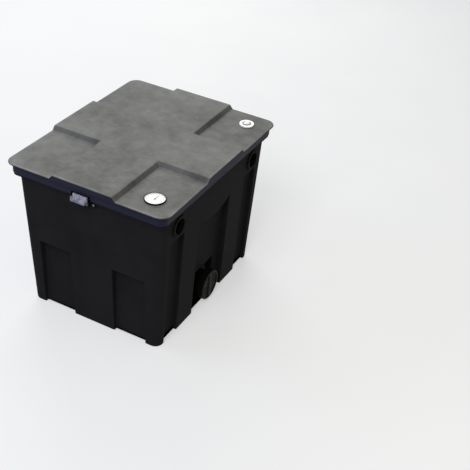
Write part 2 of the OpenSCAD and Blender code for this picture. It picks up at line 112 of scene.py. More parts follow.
class Nodes:
    """A material under construction: its node tree, with short ways to add and join nodes."""

    def __init__(self, name):
        self.material = bpy.data.materials.new(name)
        self.material.use_nodes = True
        self.tree = self.material.node_tree
        self.shader = self.tree.nodes["Principled BSDF"]
        coordinates = self.add("ShaderNodeTexCoord")
        self.places, self.normals = coordinates.outputs["Object"], coordinates.outputs["Normal"]

    def add(self, kind, **settings):
        node = self.tree.nodes.new(kind)
        for key, value in settings.items():
            setattr(node, key, value)
        return node

    def join(self, start, end):
        self.tree.links.new(start, end)

    def set(self, **values):
        for key, value in values.items():
            self.shader.inputs[key.replace("_", " ")].default_value = value

    def noise(self, scale, detail=2.0, rough=0.5, stretch=None):
        """Noise over the object's places. stretch scales the three axes apart."""
        node = self.add("ShaderNodeTexNoise")
        node.inputs["Scale"].default_value = scale
        node.inputs["Detail"].default_value = detail
        node.inputs["Roughness"].default_value = rough
        places = self.places
        if stretch:
            mapping = self.add("ShaderNodeMapping")
            mapping.inputs["Scale"].default_value = stretch
            self.join(places, mapping.inputs["Vector"])
            places = mapping.outputs["Vector"]
        self.join(places, node.inputs["Vector"])
        return node.outputs["Fac"]

    def cells(self, scale):
        """Distance to the nearest wall between random cells."""
        node = self.add("ShaderNodeTexVoronoi", feature="DISTANCE_TO_EDGE")
        node.inputs["Scale"].default_value = scale
        self.join(self.places, node.inputs["Vector"])
        return node.outputs["Distance"]

    def ramp(self, value, low, high, at=(0.35, 0.65)):
        """A colour that goes from low to high as value goes from at[0] to at[1]."""
        node = self.add("ShaderNodeValToRGB")
        for stop, place, colour in zip(node.color_ramp.elements, at, (low, high)):
            stop.position = place
            stop.color = (*colour, 1)
        self.join(value, node.inputs["Fac"])
        return node.outputs["Color"]

    def mixed(self, first, second, share):
        """A number between two others, share of the way from first to second."""
        node = self.add("ShaderNodeMix")
        node.inputs[0].default_value = share
        self.join(first, node.inputs[2])
        self.join(second, node.inputs[3])
        return node.outputs[0]

    def blended(self, first, second, way, amount):
        """A colour from two others. amount is a number or an output."""
        node = self.add("ShaderNodeMix", data_type="RGBA", blend_type=way)
        if isinstance(amount, float):
            node.inputs[0].default_value = amount
        else:
            self.join(amount, node.inputs[0])
        self.join(first, node.inputs[6])
        self.join(second, node.inputs[7])
        return node.outputs[2]

    def spread(self, value, low, high, source=(0.3, 0.7)):
        """A number that goes from low to high as value goes from source[0] to source[1]."""
        node = self.add("ShaderNodeMapRange")
        node.inputs["From Min"].default_value, node.inputs["From Max"].default_value = source
        node.inputs["To Min"].default_value = low
        node.inputs["To Max"].default_value = high
        self.join(value, node.inputs["Value"])
        return node.outputs["Result"]

    def bump(self, heights):
        """Bumps from (value, depth in metres) pairs, one on the other."""
        normal = None
        for value, depth in heights:
            node = self.add("ShaderNodeBump")
            node.inputs["Distance"].default_value = depth
            self.join(value, node.inputs["Height"])
            if normal:
                self.join(normal, node.inputs["Normal"])
            normal = node.outputs["Normal"]
        self.join(normal, self.shader.inputs["Normal"])


def shaded(colour, factor):
    """The colour made lighter or darker."""
    return tuple(min(c * factor, 1) for c in colour)


def moulded(name, colour, rough=0.5, specular=0.3, grain=0.00006, cloud=0.15):
    """Moulded plastic: cloudy tone, flow marks, uneven gloss and a fine spark-eroded grain."""
    made = Nodes(name)
    made.set(Specular_IOR_Level=specular)
    clouds = made.mixed(made.noise(9, 4, 0.6), made.noise(26, 3, 0.55, (1, 1, 0.25)), 0.3)
    tone = made.ramp(clouds, shaded(colour, 1 - cloud), shaded(colour, 1 + cloud))
    made.join(tone, made.shader.inputs["Base Color"])
    made.join(made.spread(clouds, rough - 0.05, rough + 0.06), made.shader.inputs["Roughness"])
    made.bump([(made.noise(55, 3), 0.0002), (made.noise(1500, 2), grain)])
    return made.material


def lid_material():
    """The lid's plastic, cloudy all over: black on its sides, with painted sheen that makes it pale where it
    faces the sky and a painted highlight by its rim.
    """
    made = Nodes("lid_plastic")
    made.set(Specular_IOR_Level=0.1)
    blotches = made.mixed(made.noise(6, 6, 0.7), made.noise(28, 5, 0.65), 0.4)
    # painted sheen: this pale tone stands in for the overhead light's sheen on the faces that point up
    painted_top_sheen = made.ramp(blotches, (0.078, 0.08, 0.073), (0.178, 0.179, 0.168), (0.38, 0.63))
    rim = made.add("ShaderNodeSeparateXYZ")
    made.join(made.places, rim.inputs[0])
    shares = []
    for output, half_size in (("X", LID_HALF[0]), ("Y", LID_HALF[1])):
        share = made.add("ShaderNodeMath", operation="ABSOLUTE")
        made.join(rim.outputs[output], share.inputs[0])
        scaled = made.add("ShaderNodeMath", operation="DIVIDE")
        made.join(share.outputs[0], scaled.inputs[0])
        scaled.inputs[1].default_value = half_size * MM
        shares.append(scaled.outputs[0])
    furthest = made.add("ShaderNodeMath", operation="MAXIMUM")
    for share, socket in zip(shares, furthest.inputs):
        made.join(share, socket)
    # painted highlight: the colour brightens in the last few millimetres out to the lid's edge, for the rim's
    # highlight
    painted_highlight = made.ramp(furthest.outputs[0], (1, 1, 1), (1.45, 1.45, 1.55), (0.972, 0.995))
    painted_top_sheen = made.blended(painted_top_sheen, painted_highlight, "MULTIPLY", 1.0)
    dark = made.ramp(blotches, (0.0066, 0.0074, 0.0195), (0.0094, 0.0104, 0.026))
    upward = made.add("ShaderNodeSeparateXYZ")
    made.join(made.normals, upward.inputs[0])
    # painted sheen mask: faces turn from the dark side tone to the painted sheen as they point up
    painted_sheen_mask = made.spread(upward.outputs["Z"], 0.0, 1.0, (0.3, 0.95))
    made.join(made.blended(dark, painted_top_sheen, "MIX", painted_sheen_mask), made.shader.inputs["Base Color"])
    made.join(made.spread(blotches, 0.46, 0.58), made.shader.inputs["Roughness"])
    made.bump([(made.noise(50, 3), 0.0003), (made.noise(1400, 2), 0.00008)])
    return made.material


def rubber_material():
    """Dull black rubber."""
    made = Nodes("rubber")
    made.set(Specular_IOR_Level=0.04)
    tone = made.ramp(made.noise(120, 3), (0.004, 0.004, 0.004), (0.009, 0.0085, 0.008))
    made.join(tone, made.shader.inputs["Base Color"])
    made.join(made.spread(made.noise(60), 0.62, 0.78), made.shader.inputs["Roughness"])
    made.bump([(made.noise(900, 3), 0.00005)])
    return made.material


def steel_material():
    """Dark brushed steel."""
    made = Nodes("steel")
    made.set(Metallic=1.0)
    lines = made.noise(60, 3, 0.6, (1, 40, 40))
    tone = made.ramp(lines, (0.10, 0.10, 0.105), (0.17, 0.17, 0.17))
    made.join(tone, made.shader.inputs["Base Color"])
    made.join(made.spread(lines, 0.24, 0.42), made.shader.inputs["Roughness"])
    made.bump([(lines, 0.00002)])
    return made.material


def clear_material():
    """Thin clear plastic: what lies under it shows through, below a faint sheen."""
    made = Nodes("clear_plastic")
    made.set(IOR=1.45, Specular_IOR_Level=0.25)
    tone = made.ramp(made.noise(40), (0.93, 0.94, 0.94), (0.96, 0.96, 0.96))
    made.join(tone, made.shader.inputs["Base Color"])
    made.join(made.spread(made.noise(90), 0.06, 0.12), made.shader.inputs["Roughness"])
    made.join(made.spread(made.noise(25), 0.10, 0.14), made.shader.inputs["Alpha"])
    return made.material


def latch_material():
    """The clips' glossy plastic, streaked: pale above the thumb lip, where a painted highlight stands in for
    the light on its face, and dark below it.
    """
    made = Nodes("latch_plastic")
    made.set(Specular_IOR_Level=0.45)
    height = made.add("ShaderNodeSeparateXYZ")
    made.join(made.places, height.inputs[0])
    streaks = made.noise(160, 3, 0.6, (1, 1, 0.3))
    # painted highlight: above the thumb lip the clip's colour turns pale, for the light falling on its face
    painted_highlight_mask = made.spread(height.outputs["Z"], 0.15, 1.0, (0.3995, 0.4035))
    painted_highlight = made.ramp(streaks, (0.11, 0.11, 0.16), (0.27, 0.27, 0.34), (0.36, 0.6))
    own_tone = made.ramp(streaks, (0.01, 0.01, 0.04), (0.035, 0.035, 0.085))
    made.join(made.blended(own_tone, painted_highlight, "MIX", painted_highlight_mask), made.shader.inputs["Base Color"])
    made.join(made.spread(streaks, 0.24, 0.36), made.shader.inputs["Roughness"])
    made.bump([(streaks, 0.00006)])
    return made.material


def window_material():
    """The level window: a milky dome, with painted shade round its foot where the groove lies in shadow."""
    made = Nodes("window_plastic")
    made.set(Transmission_Weight=0.15, Specular_IOR_Level=0.4)
    offset = made.add("ShaderNodeVectorMath", operation="SUBTRACT")
    made.join(made.places, offset.inputs[0])
    offset.inputs[1].default_value = (LEVEL_AT[0] * MM, LEVEL_AT[1] * MM, 0)
    flat = made.add("ShaderNodeVectorMath", operation="MULTIPLY")
    made.join(offset.outputs[0], flat.inputs[0])
    flat.inputs[1].default_value = (1, 1, 0)
    reach = made.add("ShaderNodeVectorMath", operation="LENGTH")
    made.join(flat.outputs[0], reach.inputs[0])
    share = made.spread(reach.outputs["Value"], 0.0, 1.0, (0, LEVEL_BORE * MM))
    # painted shade: beyond these shares of the bore the window turns nearly black, for the shadow in the
    # groove round the dome's foot
    tone = made.ramp(share, (0.84, 0.84, 0.83), (0.01, 0.01, 0.01), GROOVE_SHADE_AT)
    made.join(tone, made.shader.inputs["Base Color"])
    made.join(made.spread(made.noise(200), 0.18, 0.28), made.shader.inputs["Roughness"])
    return made.material


def foam_material(name, colour):
    """Open-cell foam: a net of thin walls round pores, with painted shade that darkens the pores and lighter
    walls between them.
    """
    made = Nodes(name)
    made.set(Roughness=0.95, Specular_IOR_Level=0.1)
    pores = made.cells(420)
    # painted shade: the pores are darkened and the walls between them lightened, for the shade inside the
    # open cells
    tone = made.ramp(pores, shaded(colour, 1.35), shaded(colour, 0.28), (0.02, 0.3))
    stain = made.ramp(made.noise(14, 3), (0.7, 0.7, 0.7), (1, 1, 1))
    made.join(made.blended(tone, stain, "MULTIPLY", 1.0), made.shader.inputs["Base Color"])
    made.bump([(made.noise(70, 3), 0.0012), (pores, -0.0016)])
    return made.material


def studio_floor():
    """A pale floor that glows a little, so that shadows stay soft."""
    made = Nodes("studio_floor")
    made.set(Roughness=0.9, Specular_IOR_Level=0.1, Emission_Strength=0.44)
    tone = made.ramp(made.noise(3), (0.39, 0.395, 0.40), (0.40, 0.405, 0.41))
    made.join(tone, made.shader.inputs["Base Color"])
    made.join(made.ramp(made.noise(2), (0.98, 0.99, 1), (1, 1, 1)), made.shader.inputs["Emission Color"])
    return made.material


def make_materials():
    """The finish of each material slot, and that of the level window."""
    return {
        "tank_plastic": moulded("tank_plastic", (0.0112, 0.0109, 0.0126), 0.52, 0.008),
        "lid_plastic": lid_material(),
        "fitting_plastic": moulded("fitting_plastic", (0.004, 0.0038, 0.0032), 0.3, 0.03, 0.00003),
        "inner_plastic": moulded("inner_plastic", (0.03, 0.031, 0.034), 0.48, 0.3),
        "latch_plastic": latch_material(),
        "white_plastic": moulded("white_plastic", (0.86, 0.86, 0.85), 0.35, 0.5, 0.00001, 0.02),
        "clear_plastic": clear_material(),
        "window": window_material(),
        "needle_black": moulded("needle_black", (0.015, 0.015, 0.016), 0.45, 0.3, 0.00001),
        "flag_orange": moulded("flag_orange", (0.62, 0.10, 0.035), 0.4, 0.4, 0.00002, 0.06),
        "rubber": rubber_material(),
        "steel": steel_material(),
        "foam_coarse": foam_material("foam_coarse", (0.46, 0.03, 0.035)),
        "foam_medium": foam_material("foam_medium", (0.025, 0.10, 0.40)),
        "foam_fine": foam_material("foam_fine", (0.13, 0.03, 0.22)),
    }


# ---- mesh helpers ----

def finished(mesh, name, slot, body, *nodes, sharp=50, weighted=True, material=None):
    """Makes a mesh, in metres, into a piece that rides on body and stands for the CAD nodes."""
    mesh.polygons.foreach_set("use_smooth", [True] * len(mesh.polygons))
    mesh.set_sharp_from_angle(angle=math.radians(sharp))
    mesh.materials.clear()
    mesh.materials.append(MATERIALS[material or slot])
    piece = bpy.data.objects.new(name, mesh)
    bpy.context.scene.collection.objects.link(piece)
    if weighted:
        piece.modifiers.new("normals", "WEIGHTED_NORMAL").keep_sharp = True
    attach(piece, body)
    if nodes:
        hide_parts(*nodes)
    return piece


def mesh_of(points, faces, name):
    """A mesh from points in millimetres. Repeated points in a face are left out."""
    kept = []
    for face in faces:
        corners = [v for i, v in enumerate(face) if v != face[i - 1]]
        if len(corners) > 2:
            kept.append(corners)
    mesh = bpy.data.meshes.new(name)
    mesh.from_pydata([tuple(c * MM for c in p) for p in points], [], kept)
    mesh.validate()
    return mesh


def ring_faces(rows, turned=False):
    """Quads between rows of point numbers, each row a closed loop of the same length."""
    faces = []
    for low, high in zip(rows, rows[1:]):
        count = len(low)
        for i in range(count):
            j = (i + 1) % count
            quad = (low[i], low[j], high[j], high[i])
            faces.append(quad[::-1] if turned else quad)
    return faces


def combined(mesh, operation, tool_mesh):
    """A mesh joined with, or cut by, a tool mesh."""
    pair = [bpy.data.objects.new("working", m) for m in (mesh, tool_mesh)]
    for thing in pair:
        bpy.context.scene.collection.objects.link(thing)
    boolean = pair[0].modifiers.new("tool", "BOOLEAN")
    boolean.operation, boolean.solver, boolean.object = operation, "MANIFOLD", pair[1]
    bpy.context.view_layer.update()
    result = bpy.data.meshes.new_from_object(pair[0].evaluated_get(bpy.context.evaluated_depsgraph_get()))
    for thing in pair:
        bpy.data.objects.remove(thing)
    return result


def lathe(profile, axis, centre, steps=96):
    """A closed ring turned from (radius, height) pairs about an axis through centre, in millimetres."""
    points, rows = [], []
    for radius, height in profile:
        rows.append(list(range(len(points), len(points) + steps)))
        for i in range(steps):
            a = 2 * math.pi * i / steps
            flat = (radius * math.cos(a), radius * math.sin(a), height)
            at = flat if axis == "z" else (flat[2], flat[0], flat[1])
            points.append(tuple(c + s for c, s in zip(at, centre)))
    faces = ring_faces(rows + rows[:1])
    return mesh_of(points, faces, "turned")


def outward(mesh, weld=False):
    """Turns every face of a closed mesh outward. With weld, it first welds a turned mesh along its axis."""
    editing = bmesh.new()
    editing.from_mesh(mesh)
    if weld:
        bmesh.ops.remove_doubles(editing, verts=editing.verts, dist=1e-6)
        empty = [f for f in editing.faces if f.calc_area() < 1e-12]
        bmesh.ops.delete(editing, geom=empty, context="FACES")
    bmesh.ops.recalc_face_normals(editing, faces=editing.faces)
    editing.to_mesh(mesh)
    editing.free()
    return mesh


def rod(axis, radius, start, end, centre, soft=0.001):
    """A closed rod from start to end along its axis, with edges rounded by soft."""
    half_profile = [(radius - soft, 0.0), (radius - 0.3 * soft, 0.3 * soft), (radius, soft)]
    profile = [(0, start)] + [(r, start + rise) for r, rise in half_profile]
    profile += [(r, end - rise) for r, rise in reversed(half_profile)] + [(0, end)]
    return outward(lathe(profile, axis, centre), weld=True)


def rounded(node, slot, body, width):
    """The CAD node with its edges rounded by width, in millimetres, as a mould leaves them."""
    crease = math.radians(30)
    editing = bmesh.new()
    editing.from_mesh(frame["nodes"][node].data)
    bmesh.ops.remove_doubles(editing, verts=editing.verts, dist=3e-6)
    bmesh.ops.dissolve_limit(editing, angle_limit=math.radians(0.8), verts=editing.verts, edges=editing.edges)
    edges = [e for e in editing.edges if e.is_manifold and e.calc_face_angle(0) > crease]
    bmesh.ops.bevel(editing, geom=edges, offset=width * MM, segments=2, profile=0.6, affect="EDGES",
                    clamp_overlap=True)
    mesh = bpy.data.meshes.new(node)
    editing.to_mesh(mesh)
    editing.free()
    finished(mesh, node + "_moulding", slot, body, node, sharp=40)


# ---- outlines shared by the lid and the tank ----

LID_HALF = (235.0, 292.0)
LID_R = 30.0
DECK_Z, LID_T, CROSS_RISE = 438.0, 4.0, 11.0
SKIRT_IN, SKIRT_Z = 10.0, 407.0
RIM_Z, WALL, FLOOR_T = 430.0, 4.0, 5.0
BASE_HALF = (200.0, 251.0)
DRAFT = (15.0, 21.0)
TANK_R = (22.0, 26.0)
LATCH_X = 10.0
CORNER_STEPS = 12

# distances in from a recess's edge, and the shares of its rounding radius that the first four sink by
EDGE_T = (-2.0, -1.1, -0.35, 0.0, 0.7, 1.05, 1.8, 2.7)
EDGE_SHARE = (0.0, 0.11, 0.45, 1.0)
EDGE_R = 2.0
CLOSEST = 0.02


def sunk(t, depth):
    """How deep a recess is at distance t inside its edge: rounded over, nearly upright, then filleted."""
    r = min(EDGE_R, depth / 2)
    heights = [s * r for s in EDGE_SHARE] + [depth - s * r for s in reversed(EDGE_SHARE)]
    return float(np.interp(t, EDGE_T, heights))


def around(edges):
    """Places across each edge of a recess. edges holds (place, way), and way is +1 or -1, into the recess."""
    return {place + way * t for place, way in edges for t in EDGE_T}


def filled_in(low, high, kept, gap):
    """Places from low to high: the kept ones in that range, and more between them, at most gap apart."""
    places = sorted(p for p in kept | {low, high} if low <= p <= high)
    filled = places[:1]
    for p in places[1:]:
        count = max(1, math.ceil((p - filled[-1]) / gap))
        filled += [filled[-1] + (p - filled[-1]) * (i + 1) / count for i in range(count)]
    return [p for i, p in enumerate(filled) if i == 0 or p - filled[i - 1] > CLOSEST]


# ---- lid ----

# places across an arm of the cross, and how far the surface stands above the deck there
ARM_PLACES = (82.5, 84.5, 86.0, 87.4, 94.3, 95.6, 97.0, 98.5)
ARM_SHARES = (1.0, 0.99, 0.96, 0.87, 0.13, 0.035, 0.006, 0.0)
UNDER_ARM = 2.5                  # how much narrower the cross is on the underside
ROLL_R, ROLL_STEPS = 3.2, 5      # the deck's rounded edge
SKIRT_MID = 426.0                # above this height the skirt is the same all round
LIP_R = ((1.2, 0.0), (0.35, 0.35), (0.0, 1.2))
NOTCH_HALF, NOTCH_Z = 29.0, 418.0
NOTCH_STEPS, NOTCH_SHARES = (-2.2, -1.2, 0.4, 1.4), (1.0, 0.93, 0.07, 0.0)
LID_GRID = 14.0
THERMO_AT, THERMO_HOLE = (166.0, -228.0), 20.3
LEVEL_AT, LEVEL_HOLE, LEVEL_BORE = (171.0, 231.0), 14.3, 12.5
GROOVE_SHADE_AT = (0.70, 0.73)           # shares of the bore between which the window turns to painted shade, for the shadowed groove round the dome's foot


def cross_height(x, y, narrow=0.0):
    """How far the raised cross stands above the deck."""
    across = min(abs(x), abs(y)) + narrow
    return CROSS_RISE * float(np.interp(across, ARM_PLACES, ARM_SHARES))


def latch_middle(side):
    """X of the latch on the front or the rear side."""
    return -LATCH_X if side == "front" else LATCH_X


def skirt_bottom(side, u):
    """Height of the skirt's edge at place u of a side: it rises over each latch."""
    if side not in ("front", "rear"):
        return SKIRT_Z
    off = abs(u - latch_middle(side)) - NOTCH_HALF
    return SKIRT_Z + (NOTCH_Z - SKIRT_Z) * float(np.interp(off, NOTCH_STEPS, NOTCH_SHARES))


def lid_lines():
    """The grid's X places and Y places over the lid, out to where its corners begin."""
    both = (-1, 1)
    notch = {s * LATCH_X + k * NOTCH_HALF + way * t
             for s in both for k in both for way in both for t in NOTCH_STEPS}
    arm = {s * p for s in both for p in ARM_PLACES}
    ends = [size - LID_R for size in LID_HALF]
    return [filled_in(-end, end, kept, LID_GRID) for end, kept in zip(ends, (arm | notch, arm))]


def rim_stations(xs, ys, cx, cy):
    """The rim's stations, anticlockwise from above: (side, place, direction, grid place at its inner end)."""
    last_x, last_y = len(xs) - 1, len(ys) - 1
    turns = [math.radians(90 * k / CORNER_STEPS) for k in range(1, CORNER_STEPS)]
    stations = [("right", y, (1, 0), (last_x, j)) for j, y in enumerate(ys)]
    stations += [("corner", (cx, cy), (math.cos(a), math.sin(a)), (last_x, last_y)) for a in turns]
    stations += [("rear", x, (0, 1), (i, last_y)) for i, x in reversed(list(enumerate(xs)))]
    stations += [("corner", (-cx, cy), (-math.sin(a), math.cos(a)), (0, last_y)) for a in turns]
    stations += [("left", y, (-1, 0), (0, j)) for j, y in reversed(list(enumerate(ys)))]
    stations += [("corner", (-cx, -cy), (-math.cos(a), -math.sin(a)), (0, 0)) for a in turns]
    stations += [("front", x, (0, -1), (i, 0)) for i, x in enumerate(xs)]
    stations += [("corner", (cx, -cy), (math.sin(a), -math.cos(a)), (last_x, 0)) for a in turns]
    return stations


def lid_mesh():
    """The lid: a grid over its top, rows over its rim and skirt, and a grid on its underside."""
    xs, ys = lid_lines()
    cx, cy = (size - LID_R for size in LID_HALF)
    base_z = DECK_Z - LID_T
    points, grids = [], []
    for z, narrow in ((DECK_Z, 0.0), (base_z, UNDER_ARM)):
        grid = {}
        for i, x in enumerate(xs):
            for j, y in enumerate(ys):
                grid[i, j] = len(points)
                points.append((x, y, z + cross_height(x, y, narrow)))
        grids.append(grid)
    stations = rim_stations(xs, ys, cx, cy)

    def at(station, inset):
        side, place, (dx, dy), _ = station
        reach = LID_R - inset
        if side == "corner":
            return place[0] + dx * reach, place[1] + dy * reach
        if side in ("right", "left"):
            return dx * (cx + reach), place
        return place, dy * (cy + reach)

    def row(inset, height):
        """One loop of points. height takes a station and its point."""
        ids = []
        for station in stations:
            x, y = at(station, inset)
            ids.append(len(points))
            points.append((x, y, height(station, x, y)))
        return ids

    def top(drop):
        return lambda station, x, y: DECK_Z + cross_height(x, y) - drop

    def level(z):
        return lambda station, x, y: z

    def below(rise):
        return lambda station, x, y: skirt_bottom(station[0], station[1]) + rise

    def cavity(station, x, y):
        return base_z + cross_height(x, y, UNDER_ARM)

    inner = SKIRT_IN + LID_T
    arcs = [math.radians(90 * k / ROLL_STEPS) for k in range(ROLL_STEPS + 1)]
    rows = [[grids[0][s[3]] for s in stations]]
    rows += [row(inset, top(0)) for inset in (22, 14, 8, 5)]
    rows += [row(ROLL_R * (1 - math.sin(a)), top(ROLL_R * (1 - math.cos(a)))) for a in arcs]
    rows += [row(0, level(base_z + 0.9)), row(0.3, level(base_z + 0.3)), row(1.0, level(base_z))]
    rows += [row(SKIRT_IN - 1.5, level(base_z)), row(SKIRT_IN - 0.4, level(base_z - 0.5))]
    rows += [row(SKIRT_IN, level(base_z - 1.8)), row(SKIRT_IN, level(SKIRT_MID))]
    rows += [row(SKIRT_IN + inset, below(rise)) for inset, rise in reversed(LIP_R)]
    rows += [row(inner - inset, below(rise)) for inset, rise in LIP_R]
    rows += [row(inner, level(SKIRT_MID)), row(inner, level(base_z - 0.8)), row(inner + 0.5, cavity)]
    rows += [row(inset, cavity) for inset in (18, 23)]
    rows += [[grids[1][s[3]] for s in stations]]
    faces = ring_faces(rows, turned=True)
    for grid, flip in ((grids[0], False), (grids[1], True)):
        for i in range(len(xs) - 1):
            for j in range(len(ys) - 1):
                quad = (grid[i, j], grid[i + 1, j], grid[i + 1, j + 1], grid[i, j + 1])
                faces.append(quad[::-1] if flip else quad)
    return mesh_of(points, faces, "lid")


def make_lid():
    """The lid with its two gauge holes."""
    mesh = lid_mesh()
    for (x, y), radius in ((THERMO_AT, THERMO_HOLE), (LEVEL_AT, LEVEL_HOLE)):
        mesh = combined(mesh, "DIFFERENCE", rod("z", radius, DECK_Z - 20, DECK_Z + 20, (x, y, 0)))
    finished(mesh, "lid_moulding", "lid_plastic", "lid", "lid_panel")


# ---- tank ----

BAY_X, BAY_TOP, BAY_Y = (63.5, 160.0), 208.0, 241.0
GROOVE_Y, GROOVE_TOP, GROOVE_D = (160.0, 223.0), 321.0, 13.0
PANEL_Y, PANEL_TOP, PANEL_SAG, PANEL_D = 80.0, 306.0, 19.0, 19.0
POCKET_Y, POCKET_TOP, POCKET_X = 52.0, 110.0, 166.0
TOE_Z, TOE_D = 65.0, 5.0
FLANGE_Z, FLANGE_IN = (401.0, 405.0), 12.0
GAP_HALF = 40.0
INLET_Y, INLET_Z, INLET_HOLE, INLET_BOSS = 193.0, 360.0, 25.0, 31.0
INLET_FACE, INLET_BACK = 214.5, 207.0
OUTLET_Z, OUTLET_HOLE, OUTLET_BOSS = 325.0, 38.0, 56.0
OUTLET_FACE, OUTLET_BACK = -214.0, -207.0
DRAIN_Z, DRAIN_HOLE = 52.0, 36.0
SEAT_Y, SEAT_Z, SEAT_HALF, SEAT_ROOT = 272.0, (387.0, 404.0), 39.0, 5.0
SAG_R = (PANEL_Y ** 2 + PANEL_SAG ** 2) / (2 * PANEL_SAG)
BOW_Z, BOW_SHARE = (225, 298, 316, 392), (0, 1, 1, 0)  # where the rows bow with the centre panel's top
SIDE_GRID, WALL_GRID = 16.0, 22.0
PAST_EDGE = 3.0                  # how far past a side's last recess its places stay put
FOOT_ROWS = ((0, 2.2), (0.3, 1.1), (1.0, 0.35), (2.2, 0))
RIM_ROWS = ((RIM_Z - 0.9, 0), (RIM_Z - 0.25, 0.25), (RIM_Z, 0.9))
FLOOR_ROWS = ((FLOOR_T + 1.5, 0.3), (FLOOR_T + 0.4, 1.2), (FLOOR_T, 2.4))


def half(axis, z):
    """Half of the tank's outer width, axis 0, or length, axis 1, at height z."""
    return BASE_HALF[axis] + DRAFT[axis] * z / RIM_Z


def sag(y):
    """How far the centre panel's top edge hangs below its ends."""
    return max(0.0, math.sqrt(max(SAG_R ** 2 - y * y, 0)) - (SAG_R - PANEL_SAG))


def inside(u, bounds):
    """Distance in from the nearer of two bounds."""
    return min(u - bounds[0], bounds[1] - u)


def tank_depth(side, u, z, grow):
    """How far the wall stands in from the drafted sides. grow widens each recess, for the inner face."""
    def recess(across, below, depth):
        return min(sunk(across + grow, depth), sunk(below - z + grow, depth))

    if side in ("front", "rear"):
        return recess(inside(abs(u), BAY_X), BAY_TOP, half(1, z) - BAY_Y)
    if side == "right":
        groove = recess(inside(abs(u), GROOVE_Y), GROOVE_TOP, GROOVE_D)
        panel = recess(PANEL_Y - abs(u), PANEL_TOP - sag(u), PANEL_D)
        pocket = recess(POCKET_Y - abs(u), POCKET_TOP, half(0, z) - POCKET_X)
        return max(groove, panel, pocket)
    return 0.0


def tank_places(side, end):
    """Places along a side, out to where the corner begins. Those by the recesses stay put at every height."""
    both = (-1, 1)
    if side in ("right", "left"):
        edges = [(GROOVE_Y[0], -1), (GROOVE_Y[1], 1), (PANEL_Y, 1), (POCKET_Y, 1),
                 (GROOVE_Y[0] - WALL, -1), (GROOVE_Y[1] + 1.0, 1), (PANEL_Y + WALL, 1), (POCKET_Y + WALL, 1)]
        limit = GROOVE_Y[1] + PAST_EDGE
    else:
        edges = [(BAY_X[0], -1), (BAY_X[1], 1), (BAY_X[0] - WALL, -1), (BAY_X[1] + WALL, 1)]
        limit = BAY_X[1] + WALL + PAST_EDGE
    kept = around([(s * edge, -s * way) for s in both for edge, way in edges])
    if side == "left":
        kept = set()
    elif side != "right":
        kept |= around([(latch_middle(side) + s * GAP_HALF, s) for s in both])
    fixed = filled_in(-limit, limit, kept, SIDE_GRID)
    stretched = [limit + (end - limit) * k for k in (0.5, 1.0)]
    return [-p for p in reversed(stretched)] + fixed + stretched


def tank_heights(grow):
    """Heights of the rows up the walls, dense at the recesses' upper edges."""
    kept = around([(top + grow, -1) for top in (TOE_Z, POCKET_TOP, BAY_TOP, PANEL_TOP, GROOVE_TOP)])
    return filled_in(FLOOR_T + 4, FLANGE_Z[0] - 4, kept, WALL_GRID)


def tank_row(points, z, grow, inset=0.0, flange=0.0):
    """Adds one loop of points round the tank near height z, and returns their numbers.

    grow is how far the row stands in from the outer wall, inset rounds an edge, and flange, from 0 to 1,
    draws the row out to the flange's outline.
    """
    halves = half(0, z), half(1, z)
    r = TANK_R[0] + (TANK_R[1] - TANK_R[0]) * z / RIM_Z
    flange_halves = [size - FLANGE_IN for size in LID_HALF]
    flange_r = LID_R - FLANGE_IN
    bow = float(np.interp(z, BOW_Z, BOW_SHARE))
    toe = -halves[0] + sunk(TOE_Z - z + grow, halves[0] - BASE_HALF[0] + TOE_D) + grow + inset
    ids = []

    def add(x, y, height, lip):
        ids.append(len(points))
        points.append((max(x, toe) if lip == 0 else x, y, height))

    sides = (("right", 0, 1), ("rear", 1, -1), ("left", 0, -1), ("front", 1, 1))
    corners = ((1, 1), (-1, 1), (-1, -1), (1, -1))
    for turn, ((side, axis, way), signs) in enumerate(zip(sides, corners)):
        out = 1 if side in ("right", "rear") else -1
        places = tank_places(side, halves[1 - axis] - r)
        flange_places = tank_places(side, flange_halves[1 - axis] - flange_r)
        for place, flange_place in zip(places, flange_places):
            u, flange_u = way * place, way * flange_place
            height = z - (sag(u) * bow if side == "right" else 0.0)
            reach = halves[axis] - tank_depth(side, u, height, grow) - grow - inset
            lip = flange
            if side in ("front", "rear"):
                lip *= float(np.interp(abs(u - latch_middle(side)) - GAP_HALF, (-1, 1), (0, 1)))
            u = u + (flange_u - u) * lip
            reach = out * (reach + (flange_halves[axis] - reach) * lip)
            add(*((reach, u) if axis == 0 else (u, reach)), height, lip)
        for k in range(1, CORNER_STEPS):
            a = math.radians(90 * (turn + k / CORNER_STEPS))
            turned = (math.cos(a), math.sin(a))
            plain = [sign * (size - r) + (r - grow - inset) * t
                     for sign, size, t in zip(signs, halves, turned)]
            lipped = [sign * (size - flange_r) + flange_r * t
                      for sign, size, t in zip(signs, flange_halves, turned)]
            add(*(p + (q - p) * flange for p, q in zip(plain, lipped)), z, flange)
    return ids


